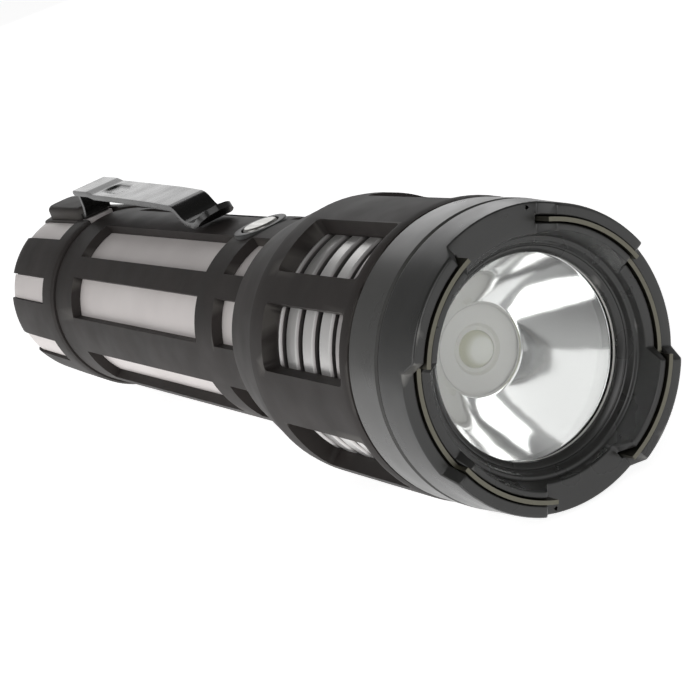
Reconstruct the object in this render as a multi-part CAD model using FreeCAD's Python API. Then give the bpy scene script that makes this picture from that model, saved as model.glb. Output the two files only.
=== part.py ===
"""Rugged handheld flashlight with a crenellated bezel, rubber armour, side switch and belt clip.

The lamp lies along Y: the bezel looks along -Y and the flat end of the tail cap is at Y = 0.
+Z is up and carries the button and the clip. Lengths along the lamp are written as stations,
in millimetres behind the front of the lens seat, and at() turns a station into Y.
Angles about the lamp are in degrees from +Z towards -X.
"""
import FreeCAD, Part
import math
import os

V = FreeCAD.Vector
OUT = "parts"

# ---- driving dimensions, millimetres and degrees ----
LENS_TO_TAIL = 161.0

HEAD_R = 19.85
COLLAR_R = 19.65
BEZEL_FRONT_R = 19.2
BARREL_R = 15.8
TUBE_R = 14.15
TUBE_BORE_R = 11.3
CELL_R = 9.25
CELL_LENGTH = 69.0
CELL_FRONT = 78.7
TERMINAL_HEIGHT = 1.5
LENS_SIGHT_R = 13.0

# Stations along the lamp.
MERLON_FRONT = -5.85
SECTOR_FRONT = -3.35
BEZEL_REAR = 2.5
BEZEL_SHANK_END = 8.0
COLLAR_FRONT = 2.8
COLLAR_REAR = 10.2
SLEEVE_FRONT = 10.5
HEAD_WINDOW = (12.3, 35.8)
SHOULDER = 41.0
HEAD_REAR = 53.2
BODY_FRONT = 53.5
NECK_SLOT_REAR = 62.7
BUTTON = 66.5
BODY_WINDOW = (69.4, 125.7)
BODY_REAR = 134.3
CAP_FRONT = 134.6
NOTCH_FRONT = 140.1
TAIL = LENS_TO_TAIL

# Eight windows, in four pairs either side of the lines at 45, 135, 225 and 315 degrees.
PAIR_CENTRES = (45, 135, 225, 315)
PAIR_HALF = 20.0
HEAD_WINDOW_ANGLE = 27.0
BODY_WINDOW_ANGLE = 26.0
NOTCH_ANGLE = 17.0

# The notches of the tail cap are not in line with the windows.
NOTCH_CENTRES = (20.5, 64.0, 106.0, 152.0, 208.0, 254.0, 296.0, 339.5)

# Bezel crown: eight sectors of 45 degrees, every second one lower.
SECTOR_ANGLE = 45.0
RAMP = 1.5
STRIP_START = 20.2
STRIP_R = (16.95, 17.5)
GROOVE_R = (16.75, 17.65)
GROOVE_DEPTH = 3.2

# Cooling fins.
FIN_COUNT = 4
FIN_FRONT = 20.0
FIN_PITCH = 5.07
FIN_WIDTH = 3.3
FIN_R = 17.4
FIN_ROOT_R = 15.6
FIN_CHAMFER = 0.35

# Reflector bowl: a paraboloid from the rim to the opening round the emitter.
BOWL_RIM = (2.1, 12.95)
BOWL_OPENING = (12.0, 5.9)
BOWL_WALL = 0.9

# Boards: the emitter's, the driver's and the leads from one to the other.
LED_BOARD_FRONT = 14.2
LED_BOARD_REAR = 15.8
LED_SCREW_X = 9.6
LEAD_Z = 8.6
DRIVER_FRONT = 30.5
DRIVER_REAR = 32.1
DRIVER_R = 11.5

# Push button.
BUTTON_R = 2.75
BUTTON_TOP = 16.2
RING_R = 4.2
RING_SHANK_R = 3.7

# Belt clip: widths and thickness of the strip, its root, the foot's screws and the pad below.
CLIP_WIDTH = 6.4
FOOT_WIDTH = 5.0
CLIP_THICKNESS = 1.0
CLIP_PIVOT = (136.6, 21.4)
CLIP_TIP = 79.6
CLIP_SCREWS = (142.5, 149.0)
PAD_TOP = 15.9
PAD_HALF = 2.6
PAD = (137.5, 153.5)
FOOT_TOP = PAD_TOP + CLIP_THICKNESS

# Rubber hump over the clip's foot.
HUMP = (139.7, 157.6)
HUMP_HALF = 3.1
HUMP_TOP = 18.15


def at(station):
    return station - LENS_TO_TAIL


def polygon(points):
    wire = Part.makePolygon(points + [points[0]])
    return Part.Face(wire)


def turned(profile, angle=360.0):
    """Solid turned about the Y axis from (station, radius) corners."""
    face = polygon([V(r, at(s), 0) for s, r in profile])
    return face.revolve(V(0, 0, 0), V(0, 1, 0), angle)


def ring(front, rear, outer, inner, chamfer=0.0):
    c = chamfer
    if c == 0.0:
        return turned([(front, inner), (front, outer), (rear, outer), (rear, inner)])
    corners = [(front, inner), (front, outer - c), (front + c, outer)]
    corners += [(rear - c, outer), (rear, outer - c), (rear, inner)]
    return turned(corners)


def disc(front, rear, radius):
    return ring(front, rear, radius, 0.0)


def turned_part(profile, centre, width):
    """Part of a turned solid, width degrees wide about the angle centre."""
    solid = turned(profile, width)
    solid.rotate(V(0, 0, 0), V(0, 1, 0), -(centre + 90.0 + width / 2.0))
    return solid


def sector(front, rear, inner, outer, centre, width):
    """Part of a ring, width degrees wide about the angle centre."""
    return turned_part([(front, inner), (front, outer), (rear, outer), (rear, inner)], centre, width)


def about_axis(shape, angle):
    copy = shape.copy()
    copy.rotate(V(0, 0, 0), V(0, 1, 0), -angle)
    return copy


def post(station, low, high, radius, x=0.0):
    """Upright cylinder along +Z."""
    return Part.makeCylinder(radius, high - low, V(x, at(station), low), V(0, 0, 1))


def block(x, stations, z):
    """Box from pairs of x, station and z."""
    size = (x[1] - x[0], stations[1] - stations[0], z[1] - z[0])
    return Part.makeBox(size[0], size[1], size[2], V(x[0], at(stations[0]), z[0]))


def fuse(shapes):
    whole = shapes[0]
    for shape in shapes[1:]:
        whole = whole.fuse(shape)
    return whole.removeSplitter()


def cut(shape, tools):
    for tool in tools:
        shape = shape.cut(tool)
    return shape


def window_angles():
    angles = []
    for pair in PAIR_CENTRES:
        angles.append(pair - PAIR_HALF)
        angles.append(pair + PAIR_HALF)
    return angles


def save(name, shape):
    shape.exportStep(os.path.join(OUT, name + ".step"))


# ---- bezel ----
def low_sector_tool(centre):
    """Wedge that lowers one sector of the crown and leaves sloped ends on its neighbours."""
    near, far = 12.0, 22.0
    wires = []
    for distance in (near, far):
        half = distance * math.tan(math.radians(SECTOR_ANGLE / 2.0))
        low = half - RAMP / 2.0
        slope = RAMP / (SECTOR_FRONT - MERLON_FRONT)
        front = MERLON_FRONT - 1.0
        high = low + slope * (SECTOR_FRONT - front)
        corners = [(-low, SECTOR_FRONT), (low, SECTOR_FRONT), (high, front), (-high, front)]
        points = [V(x, at(s), distance) for x, s in corners]
        wires.append(Part.makePolygon(points + [points[0]]))
    return about_axis(Part.makeLoft(wires, True, True), centre)


def bezel_profile():
    """Crown, stepped throat down to the lens, lip and threaded shank."""
    throat = [(-2.1, 15.1), (-2.1, 14.5), (-1.1, 14.1), (-1.1, 13.7), (-0.5, LENS_SIGHT_R)]
    crown = [(MERLON_FRONT, 15.9), (MERLON_FRONT, 18.95), (MERLON_FRONT + 0.25, BEZEL_FRONT_R)]
    outside = [(BEZEL_REAR - 0.2, COLLAR_R - 0.05), (BEZEL_REAR, COLLAR_R - 0.25)]
    shank = [(BEZEL_REAR, 17.6), (BEZEL_SHANK_END, 17.6), (BEZEL_SHANK_END, 14.7)]
    lip = [(0.2, 14.7), (0.2, LENS_SIGHT_R)]
    return crown + outside + shank + lip + throat[::-1]


def bezel_ring():
    body = turned(bezel_profile())
    tools = [low_sector_tool(centre) for centre in (0, 90, 180, 270)]
    floor = MERLON_FRONT + 2.5 + GROOVE_DEPTH
    for centre in (90, 270):
        width = 2.0 * (90.0 - STRIP_START) + 0.8
        tools.append(sector(MERLON_FRONT - 1.0, floor, GROOVE_R[0], GROOVE_R[1], centre, width))
    return cut(body, tools)


def bezel_strip(centre):
    """Curved metal strip that stands a little proud of the crown and steps down with it."""
    proud = 0.3
    floor = MERLON_FRONT + 2.5 + GROOVE_DEPTH
    width = 2.0 * (90.0 - STRIP_START)
    strip = sector(MERLON_FRONT - proud, floor, STRIP_R[0], STRIP_R[1], centre, width)
    step = sector(MERLON_FRONT - 1.0, SECTOR_FRONT - proud, 15.0, 19.0, centre, SECTOR_ANGLE)
    return strip.cut(step)


# ---- optics ----
def bowl_radius(station):
    s0, r0 = BOWL_RIM
    s1, r1 = BOWL_OPENING
    share = (station - s0) / (s1 - s0)
    return math.sqrt(r0 ** 2 + (r1 ** 2 - r0 ** 2) * share)


def bowl_curve(offset):
    count = 9
    s0, s1 = BOWL_RIM[0], BOWL_OPENING[0]
    points = []
    for i in range(count):
        s = s0 + (s1 - s0) * i / (count - 1)
        points.append(V(bowl_radius(s) + offset, at(s), 0))
    curve = Part.BSplineCurve()
    curve.interpolate(points)
    return curve.toShape(), points


def reflector():
    flange_r, flange_back = 14.4, 3.2
    s0, s1 = BOWL_RIM[0], BOWL_OPENING[0]
    inside, a = bowl_curve(0.0)
    outside, b = bowl_curve(BOWL_WALL)
    ends = [Part.makePolygon([a[-1], b[-1]]), Part.makePolygon([a[0], b[0]])]
    edges = [inside, outside] + ends[0].Edges + ends[1].Edges
    wire = Part.Wire(Part.__sortEdges__(edges))
    bowl = Part.Face(wire).revolve(V(0, 0, 0), V(0, 1, 0), 360)
    flange = turned([(s0 - 0.3, 13.1), (s0 - 0.3, flange_r), (flange_back, flange_r),
                     (flange_back, 13.25), (s0, BOWL_RIM[1])])
    collar = ring(s1 - 0.6, s1 + 0.6, BOWL_OPENING[1] + BOWL_WALL, BOWL_OPENING[1])
    return fuse([bowl, flange, collar])


def lens():
    return ring(0.5, 1.8, 14.4, 0.0, 0.2)


def lens_gasket():
    return ring(0.2, 0.5, 14.6, LENS_SIGHT_R)


def led_dome():
    """Silicone dome over the emitter, turned from a circular arc."""
    radius, height, base = 2.5, 2.2, 13.1
    ball_r = (radius ** 2 + height ** 2) / (2.0 * height)
    centre = at(base - height + ball_r)
    half_angle = math.asin(radius / ball_r) / 2.0
    foot, rim, crown = V(0, at(base), 0), V(radius, at(base), 0), V(0, at(base - height), 0)
    middle = V(ball_r * math.sin(half_angle), centre - ball_r * math.cos(half_angle), 0)
    edges = [Part.makeLine(foot, rim), Part.Arc(rim, middle, crown).toShape(), Part.makeLine(crown, foot)]
    return Part.Face(Part.Wire(edges)).revolve(V(0, 0, 0), V(0, 1, 0), 360)


def led_package():
    half = 3.4
    return block((-half, half), (13.1, 14.2), (-half, half))


def led_centring_ring():
    """White moulded ring that centres the reflector on the emitter."""
    plate = ring(12.7, 14.2, 7.4, 0.0, 0.2)
    half = 3.45
    pocket = block((-half, half), (13.1, 15.0), (-half, half))
    opening = turned([(12.0, 4.1), (13.2, 2.9), (13.2, 0.0), (12.0, 0.0)])
    return cut(plate, [pocket, opening])


def rod(radius, stations, x, z):
    """Cylinder along the lamp."""
    return Part.makeCylinder(radius, stations[1] - stations[0], V(x, at(stations[0]), z), V(0, 1, 0))


def led_board():
    through = (LED_BOARD_FRONT - 1.0, LED_BOARD_REAR + 1.0)
    holes = [rod(1.1, through, x, 0.0) for x in (-LED_SCREW_X, LED_SCREW_X)]
    holes += [rod(1.0, through, 0.0, z) for z in (-LEAD_Z, LEAD_Z)]
    return cut(disc(LED_BOARD_FRONT, LED_BOARD_REAR, DRIVER_R), holes)


def led_screws():
    """Two slotted screws that clamp the emitter board to the slug."""
    head_front, slot_half = LED_BOARD_FRONT - 1.1, 0.25
    solids = []
    for x in (-LED_SCREW_X, LED_SCREW_X):
        head = rod(1.8, (head_front, LED_BOARD_FRONT), x, 0.0)
        shank = rod(1.0, (LED_BOARD_FRONT, LED_BOARD_FRONT + 5.0), x, 0.0)
        slot = block((x - 2.0, x + 2.0), (head_front - 0.1, head_front + 0.4), (-slot_half, slot_half))
        solids.append(fuse([head, shank]).cut(slot))
    return Part.makeCompound(solids)


def led_leads():
    """Straight leads from the emitter board back to the driver."""
    return Part.makeCompound([rod(0.7, (13.9, DRIVER_FRONT), 0.0, z) for z in (-LEAD_Z, LEAD_Z)])


def heat_sink():
    """Aluminium slug that carries the emitter and holds the driver in its rear pocket."""
    pocket_front = 24.0
    slug = ring(LED_BOARD_REAR, 33.0, 14.6, 0.0, 0.3)
    pocket = disc(pocket_front, 34.0, DRIVER_R + 0.1)
    holes = [rod(1.0, (LED_BOARD_REAR - 0.1, 19.2), x, 0.0) for x in (-LED_SCREW_X, LED_SCREW_X)]
    holes += [rod(1.0, (LED_BOARD_REAR - 0.1, pocket_front + 1.0), 0.0, z) for z in (-LEAD_Z, LEAD_Z)]
    return cut(slug, [pocket] + holes)


def driver_board():
    return disc(DRIVER_FRONT, DRIVER_REAR, DRIVER_R)


def driver_components():
    """Inductor, chip and capacitors on the front of the driver board."""
    coil_r, coil_z, chip_half, cap_half, cap_pitch = 3.0, -3.8, 2.5, 0.9, 3.2
    coil = Part.makeCylinder(coil_r, 3.0, V(0, at(DRIVER_FRONT - 3.0), coil_z), V(0, 1, 0))
    chip = block((-chip_half, chip_half), (29.0, DRIVER_FRONT), (0.0, 3.6))
    places = [cap_pitch * i for i in (-1, 0, 1)]
    caps = [block((x - cap_half, x + cap_half), (29.3, DRIVER_FRONT), (4.4, 7.2)) for x in places]
    return Part.makeCompound([coil, chip] + caps)


def driver_retaining_ring():
    body = ring(DRIVER_REAR, 34.0, DRIVER_R, 9.2)
    return body.cut(block((-13.0, 13.0), (33.2, 35.0), (-0.8, 0.8)))


# ---- head ----
def collar():
    return ring(COLLAR_FRONT, COLLAR_REAR, COLLAR_R, 18.0, 0.3)


def head_body():
    """Turned aluminium head: bezel socket, cooling fins and the neck that takes the tube."""
    neck_r, neck_bore = 15.2, TUBE_R + 0.02
    outside = [(COLLAR_FRONT + 0.4, 18.0), (12.0, 18.0), (12.0, FIN_R), (18.2, FIN_R)]
    outside.append((18.2, FIN_ROOT_R))
    for i in range(FIN_COUNT):
        front = FIN_FRONT + i * FIN_PITCH
        rear = front + FIN_WIDTH
        outside += [(front, FIN_ROOT_R), (front, FIN_R - FIN_CHAMFER), (front + FIN_CHAMFER, FIN_R)]
        outside += [(rear - FIN_CHAMFER, FIN_R), (rear, FIN_R - FIN_CHAMFER), (rear, FIN_ROOT_R)]
    outside += [(40.0, FIN_ROOT_R), (42.0, neck_r), (HEAD_REAR - 0.4, neck_r)]
    inside = [(HEAD_REAR - 0.4, neck_bore), (43.6, neck_bore), (43.6, 13.0), (36.0, 13.0),
              (36.0, 14.62), (15.6, 14.62), (15.6, 15.2), (8.4, 15.2), (8.4, 17.62),
              (COLLAR_FRONT + 0.4, 17.62)]
    return turned(outside + inside)


def head_sleeve():
    """Rubber armour of the head, with eight windows over the fins and a tapered rear."""
    outside = [(SLEEVE_FRONT, COLLAR_R), (SLEEVE_FRONT + 1.5, HEAD_R), (SHOULDER - 2.5, HEAD_R),
               (SHOULDER - 0.8, HEAD_R - 0.15), (SHOULDER + 0.6, HEAD_R - 0.5),
               (HEAD_REAR - 0.5, 16.9), (HEAD_REAR, 16.5)]
    inside = [(HEAD_REAR, 15.2), (42.0, 15.2), (40.0, FIN_ROOT_R), (40.0, FIN_R),
              (12.0, FIN_R), (12.0, 18.0), (SLEEVE_FRONT, 18.0)]
    body = turned(outside + inside)
    front, rear = HEAD_WINDOW
    windows = [sector(front, rear, 15.0, 22.0, a, HEAD_WINDOW_ANGLE) for a in window_angles()]
    return cut(body, windows)


def o_ring(station, radius, section):
    return Part.makeTorus(radius, section, V(0, at(station), 0), V(0, 1, 0))


# ---- body ----
def body_tube():
    """Battery tube: head thread at the front, switch pocket on top, cap thread at the rear."""
    outside = [(43.8, TUBE_R - 0.3), (44.1, TUBE_R), (CAP_FRONT - 0.5, TUBE_R),
               (CAP_FRONT - 0.5, 13.2), (145.7, 13.2), (146.0, 12.9)]
    inside = [(146.0, TUBE_BORE_R), (43.8, TUBE_BORE_R)]
    tube = turned(outside + inside)
    seat = ring(138.9, 140.7, 14.0, 12.4)
    return cut(tube, [post(BUTTON, 5.0, 20.0, RING_SHANK_R + 0.05), seat])


def body_sleeve():
    """Rubber armour of the barrel: long windows, short slots at the neck and the switch seat."""
    body = turned([(BODY_FRONT, TUBE_R), (BODY_FRONT, BARREL_R - 0.2), (BODY_FRONT + 0.2, BARREL_R),
                   (BODY_REAR - 0.2, BARREL_R), (BODY_REAR, BARREL_R - 0.2), (BODY_REAR, TUBE_R)])
    front, rear = BODY_WINDOW
    tools = []
    for angle in window_angles():
        tools.append(sector(front, rear, 13.5, 18.0, angle, BODY_WINDOW_ANGLE))
        tools.append(sector(BODY_FRONT - 1.0, NECK_SLOT_REAR, 13.5, 18.0, angle, BODY_WINDOW_ANGLE))
    tools.append(post(BUTTON, 5.0, 20.0, RING_R))
    return cut(body, tools)


def switch_ring():
    """Moulded ring that seals the button into the armour; its shank fills the hole in the tube."""
    around = (BUTTON - 8.0, BUTTON + 8.0)
    upper = post(BUTTON, 13.2, BARREL_R + 0.15, RING_R).cut(disc(around[0], around[1], TUBE_R))
    wall = ring(around[0], around[1], TUBE_R, 13.0)
    lower = post(BUTTON, 11.6, 16.0, RING_SHANK_R).common(wall)
    hollow = post(BUTTON, 11.0, 20.0, BUTTON_R + 0.25)
    return fuse([upper, lower]).cut(hollow)


def switch_button():
    """Metal push button: cap with a rounded rim, and the stem that presses the switch."""
    cap_low = 14.6
    cap = post(BUTTON, cap_low, BUTTON_TOP, BUTTON_R)
    rim = [e for e in cap.Edges if abs(e.BoundBox.ZMin - BUTTON_TOP) < 1e-6 and len(e.Vertexes) == 1]
    cap = cap.makeFillet(0.5, rim)
    stem = post(BUTTON, 12.6, cap_low, 1.2)
    return fuse([cap, stem])


def switch_spring():
    """Return spring round the stem, between the switch body and the button's cap."""
    low, high, wire_r, coil_r = 10.85, 14.58, 0.2, 2.1
    turns = 3.5
    height = high - low - 2 * wire_r
    helix = Part.makeHelix(height / turns, height, coil_r)
    circle = Part.Wire(Part.makeCircle(wire_r, V(coil_r, 0, 0), V(0, 1, 0)))
    spring = Part.Wire(helix).makePipeShell([circle], True, True)
    spring.translate(V(0, at(BUTTON), low + wire_r))
    return spring


def tact_switch():
    body = block((-3.0, 3.0), (BUTTON - 3.0, BUTTON + 3.0), (8.6, 10.8))
    plunger = post(BUTTON, 10.8, 11.55, 1.5)
    return fuse([body, plunger])


def switch_board():
    return block((-6.0, 6.0), (BUTTON - 9.0, BUTTON + 8.0), (7.4, 8.6))


def switch_carrier():
    """Moulded insert in front of the cell: holds the switch board and the cell's front contact."""
    body = ring(56.0, 77.0, TUBE_BORE_R - 0.1, 0.0, 0.4)
    slot = block((-6.1, 6.1), (57.5, 76.5), (7.3, 12.0))
    hollow = disc(57.5, 73.0, 5.5)
    wires = block((-1.7, 1.7), (50.0, 58.0), (-1.7, 1.7))
    contact = disc(73.0, 78.0, 3.6)
    return cut(body, [slot, hollow, wires, contact])


def front_contact():
    """Brass button that meets the cell's positive end."""
    return fuse([disc(72.2, 74.0, 3.5), disc(74.0, 78.6, 2.2)])


def switch_leads():
    """Pair of leads from the driver to the switch insert."""
    return Part.makeCompound([rod(0.6, (DRIVER_REAR, 58.0), x, 0.0) for x in (-1.0, 1.0)])


# ---- battery ----
def battery_cell():
    front = CELL_FRONT + TERMINAL_HEIGHT
    rear = CELL_FRONT + CELL_LENGTH
    return ring(front, rear, CELL_R, 0.0, 0.5)


def battery_terminal():
    return disc(CELL_FRONT, CELL_FRONT + TERMINAL_HEIGHT, 2.9)


def battery_sleeve():
    """Plastic tube that centres the cell in the barrel."""
    return ring(81.0, 145.5, TUBE_BORE_R - 0.15, CELL_R + 0.05)


# ---- tail cap ----
def countersink(station, clearance):
    """Screw hole through the foot: a cone that seats the head, and a straight hole below."""
    cone = Part.makeCone(1.0 + clearance, 1.8 + clearance, 0.8,
                         V(0, at(station), FOOT_TOP - 0.8), V(0, 0, 1))
    return fuse([cone, post(station, PAD_TOP - 0.5, FOOT_TOP - 0.8, 1.0 + clearance)])


def tail_cap():
    """Aluminium cap: lands that fill the armour's notches, and a flat pad for the clip's foot."""
    outside = [(CAP_FRONT + 0.2, 14.6), (TAIL - 0.5, 14.75), (TAIL, 14.25), (TAIL, 0.0)]
    inside = [(156.6, 0.0), (156.6, 11.0), (147.0, 11.0), (147.0, 13.25), (CAP_FRONT + 0.2, 13.25)]
    cap = turned(outside + inside)
    pad = block((-PAD_HALF, PAD_HALF), PAD, (13.4, PAD_TOP))
    front = NOTCH_FRONT + 0.1
    land = [(front, 14.0), (front, 15.75), (157.5, 15.5), (TAIL - 0.9, 15.25), (TAIL, 14.8), (TAIL, 14.0)]
    lands = [turned_part(land, a, NOTCH_ANGLE - 0.8) for a in NOTCH_CENTRES]
    shell = fuse([cap, pad] + lands)
    holes = [post(s, 13.4, 18.0, 1.05) for s in CLIP_SCREWS]
    return cut(shell, holes)


def hump():
    """Rubber hump over the clip's foot, rounded at the tail end."""
    body = block((-HUMP_HALF, HUMP_HALF), HUMP, (14.0, HUMP_TOP))
    rear = at(HUMP[1])
    upright = [e for e in body.Edges if e.BoundBox.YMin > rear - 1e-6 and e.BoundBox.ZLength > 1.0]
    body = body.makeFillet(2.2, upright)
    tops = [e for e in body.Edges if e.BoundBox.ZMin > HUMP_TOP - 1e-6 and e.BoundBox.YMax > at(HUMP[0]) + 0.1]
    return body.makeFillet(0.9, tops)


def tail_sleeve(cap):
    """Rubber armour of the cap: notches open at the end and a hump over the clip's foot."""
    blank = turned([(CAP_FRONT, 14.3), (CAP_FRONT, 16.1), (CAP_FRONT + 0.9, 16.45), (147.0, 16.25),
                    (157.5, 16.0), (159.9, 15.75), (TAIL, 15.2), (TAIL, 14.3)])
    body = fuse([blank, hump()])
    half = FOOT_WIDTH / 2.0 + 0.06
    tools = [sector(NOTCH_FRONT, TAIL + 1.0, 13.0, 18.5, a, NOTCH_ANGLE) for a in NOTCH_CENTRES]
    tools.append(block((-half, half), (130.0, 151.7), (PAD_TOP - 0.02, FOOT_TOP + 0.03)))
    tools.append(block((-half, half), (130.0, HUMP[0]), (PAD_TOP - 0.02, 25.0)))
    tools.append(block((-PAD_HALF, PAD_HALF), PAD, (12.0, PAD_TOP)))
    tools.append(disc(130.0, TAIL + 1.0, 14.2))
    return cut(body, tools + [cap])


def tail_board():
    return disc(154.9, 156.6, 10.9)


def tail_board_ring():
    body = ring(153.0, 154.9, 10.95, 8.6)
    return body.cut(block((-12.0, 12.0), (152.5, 153.8), (-0.8, 0.8)))


def tail_spring():
    """Contact spring between the cell and the board in the cap."""
    front, rear, wire_r, coil_r, turns = 148.2, 154.6, 0.45, 5.0, 3.0
    height = rear - front - 2.0 * wire_r
    helix = Part.makeHelix(height / turns, height, coil_r)
    circle = Part.Wire(Part.makeCircle(wire_r, V(coil_r, 0, 0), V(0, 1, 0)))
    spring = Part.Wire(helix).makePipeShell([circle], True, True)
    spring.rotate(V(0, 0, 0), V(1, 0, 0), -90)
    spring.translate(V(0, at(front) + wire_r, 0))
    return spring


# ---- clip ----
def strip_from(line, width):
    """Bent strip: a centreline of (station, height) points, thickened and given its width."""
    half_t = CLIP_THICKNESS / 2.0
    points = [V(0, at(s), z) for s, z in line]
    upper, lower = [], []
    for i, p in enumerate(points):
        a = points[max(i - 1, 0)]
        b = points[min(i + 1, len(points) - 1)]
        d1 = (p - a) if i else (b - p)
        d2 = (b - p) if i < len(points) - 1 else (p - a)
        d1.normalize()
        d2.normalize()
        n = V(0, -(d1.z + d2.z), d1.y + d2.y)
        n.normalize()
        stretch = half_t / max(0.5, math.sqrt((1.0 + d1.dot(d2)) / 2.0))
        upper.append(p + n * stretch)
        lower.append(p - n * stretch)
    face = polygon(upper + lower[::-1])
    solid = face.extrude(V(width, 0, 0))
    solid.translate(V(-width / 2.0, 0, 0))
    return solid


def clip_foot():
    """Screwed foot and the riser that carries the arm."""
    foot_z = PAD_TOP + CLIP_THICKNESS / 2.0
    top = CLIP_PIVOT[1] - CLIP_THICKNESS / 2.0 - 0.06
    line = [(151.5, foot_z), (138.9, foot_z), (137.4, foot_z + 0.6), (136.7, 18.4), (136.6, top)]
    strip = strip_from(line, FOOT_WIDTH)
    return cut(strip, [countersink(s, 0.05) for s in CLIP_SCREWS])


def clip_arm():
    """Spring arm: raised rear, long plate with a pressed recess, broad valley and flared tip."""
    pivot_s, pivot_z = CLIP_PIVOT
    line = [(pivot_s, pivot_z), (129.8, 21.25), (127.2, 20.75), (113.0, 20.3), (100.5, 19.85),
            (92.6, 19.4), (91.4, 19.15), (90.5, 18.6), (89.2, 17.45), (88.1, 16.9),
            (86.7, 16.64), (84.6, 16.56), (83.4, 16.85), (CLIP_TIP, 18.7)]
    strip = strip_from(line, CLIP_WIDTH)
    knuckle = Part.makeCylinder(CLIP_THICKNESS / 2.0, CLIP_WIDTH,
                                V(-CLIP_WIDTH / 2.0, at(pivot_s), pivot_z), V(1, 0, 0))
    recess_r, recess_floor = 1.5, 20.75
    recess_ends = (120.0, 124.6)
    recess = [post(s, recess_floor, 24.0, recess_r) for s in recess_ends]
    recess.append(block((-recess_r, recess_r), recess_ends, (recess_floor, 24.0)))
    return cut(fuse([strip, knuckle]), recess + [tip_rounding(CLIP_TIP)])


def tip_rounding(end):
    """Tool that leaves a rounded end on the clip's tip."""
    half = CLIP_WIDTH / 2.0
    edge = end - 0.4
    centre = V(0, at(edge) + half, 10.0)
    square = block((-half - 1.0, half + 1.0), (edge - 2.0, edge + half), (10.0, 30.0))
    return square.cut(Part.makeCylinder(half, 30.0, centre, V(0, 0, 1)))


def clip_screws():
    solids = []
    for s in CLIP_SCREWS:
        head = countersink(s, 0.0)
        shank = post(s, 13.6, PAD_TOP, 1.0)
        slot = block((-2.0, 2.0), (s - 0.25, s + 0.25), (FOOT_TOP - 0.4, FOOT_TOP + 0.1))
        solids.append(fuse([head, shank]).cut(slot))
    return Part.makeCompound(solids)


def main():
    os.makedirs(OUT, exist_ok=True)
    cap = tail_cap()
    parts = {
        "bezel_ring": bezel_ring(),
        "bezel_strip_left": bezel_strip(90),
        "bezel_strip_right": bezel_strip(270),
        "lens_gasket": lens_gasket(),
        "lens": lens(),
        "reflector": reflector(),
        "led_dome": led_dome(),
        "led_package": led_package(),
        "led_centring_ring": led_centring_ring(),
        "led_board": led_board(),
        "led_screws": led_screws(),
        "led_leads": led_leads(),
        "heat_sink": heat_sink(),
        "driver_board": driver_board(),
        "driver_components": driver_components(),
        "driver_retaining_ring": driver_retaining_ring(),
        "head_collar": collar(),
        "head_body": head_body(),
        "head_sleeve": head_sleeve(),
        "body_tube": body_tube(),
        "body_sleeve": body_sleeve(),
        "switch_ring": switch_ring(),
        "switch_button": switch_button(),
        "switch_spring": switch_spring(),
        "tact_switch": tact_switch(),
        "switch_board": switch_board(),
        "switch_carrier": switch_carrier(),
        "front_contact": front_contact(),
        "switch_leads": switch_leads(),
        "battery_cell": battery_cell(),
        "battery_terminal": battery_terminal(),
        "battery_sleeve": battery_sleeve(),
        "tail_cap": cap,
        "tail_sleeve": tail_sleeve(cap),
        "tail_o_ring": o_ring(139.8, 12.82, 0.42),
        "tail_board": tail_board(),
        "tail_board_ring": tail_board_ring(),
        "tail_spring": tail_spring(),
        "clip_foot": clip_foot(),
        "clip_arm": clip_arm(),
        "clip_screws": clip_screws(),
    }
    for name, shape in parts.items():
        save(name, shape)
        box = shape.BoundBox
        print("%-22s valid %s solids %d volume %9.1f  y %.1f..%.1f" % (
            name, shape.isValid(), len(shape.Solids), shape.Volume, box.YMin, box.YMax))


main()
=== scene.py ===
"""Looks for a rugged handheld flashlight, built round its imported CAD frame.

The lamp lies along Y with the bezel towards -Y, and the button and the clip face +Z.
Sizes in this file are in millimetres unless a name says otherwise. A station is a length
measured back along the lamp from the front of the lens seat, and an angle about the lamp
runs from +Z towards -X in degrees.
"""
import math

import bmesh
import bpy
from mathutils import Matrix, Vector


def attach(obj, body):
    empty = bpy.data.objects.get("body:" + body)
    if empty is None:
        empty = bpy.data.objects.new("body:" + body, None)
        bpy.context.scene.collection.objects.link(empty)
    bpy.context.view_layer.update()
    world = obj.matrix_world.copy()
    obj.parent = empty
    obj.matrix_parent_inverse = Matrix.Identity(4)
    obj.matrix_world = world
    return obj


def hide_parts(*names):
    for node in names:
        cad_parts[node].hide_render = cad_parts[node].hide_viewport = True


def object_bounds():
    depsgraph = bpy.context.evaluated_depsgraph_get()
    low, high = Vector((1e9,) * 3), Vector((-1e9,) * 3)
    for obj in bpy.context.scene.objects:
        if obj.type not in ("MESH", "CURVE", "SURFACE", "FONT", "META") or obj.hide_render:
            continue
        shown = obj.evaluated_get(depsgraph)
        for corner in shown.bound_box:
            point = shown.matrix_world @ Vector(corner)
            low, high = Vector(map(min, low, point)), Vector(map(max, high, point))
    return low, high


bl_info = {
    "name": "Rugged flashlight",
    "version": (1, 0, 0),
    "blender": (4, 5, 0),
    "location": "View3D > Sidebar > Flashlight",
    "description": "Builds the looks of a handheld flashlight with rubber armour and a belt clip",
    "category": "Object",
}

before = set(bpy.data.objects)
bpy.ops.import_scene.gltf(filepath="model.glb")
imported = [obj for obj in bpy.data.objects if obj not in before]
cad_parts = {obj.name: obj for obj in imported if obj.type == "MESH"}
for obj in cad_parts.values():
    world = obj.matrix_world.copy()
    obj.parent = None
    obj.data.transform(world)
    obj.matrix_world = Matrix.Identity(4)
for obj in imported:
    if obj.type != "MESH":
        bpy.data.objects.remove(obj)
CAD_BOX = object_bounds()

MM = 0.001
TAIL_STATION = 161.0  # the tail's end face, which the frame puts at Y = 0

# Eight windows round the lamp, in pairs either side of four lines.
WINDOW_CENTRES = (25.0, 65.0, 115.0, 155.0, 205.0, 245.0, 295.0, 335.0)
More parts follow.
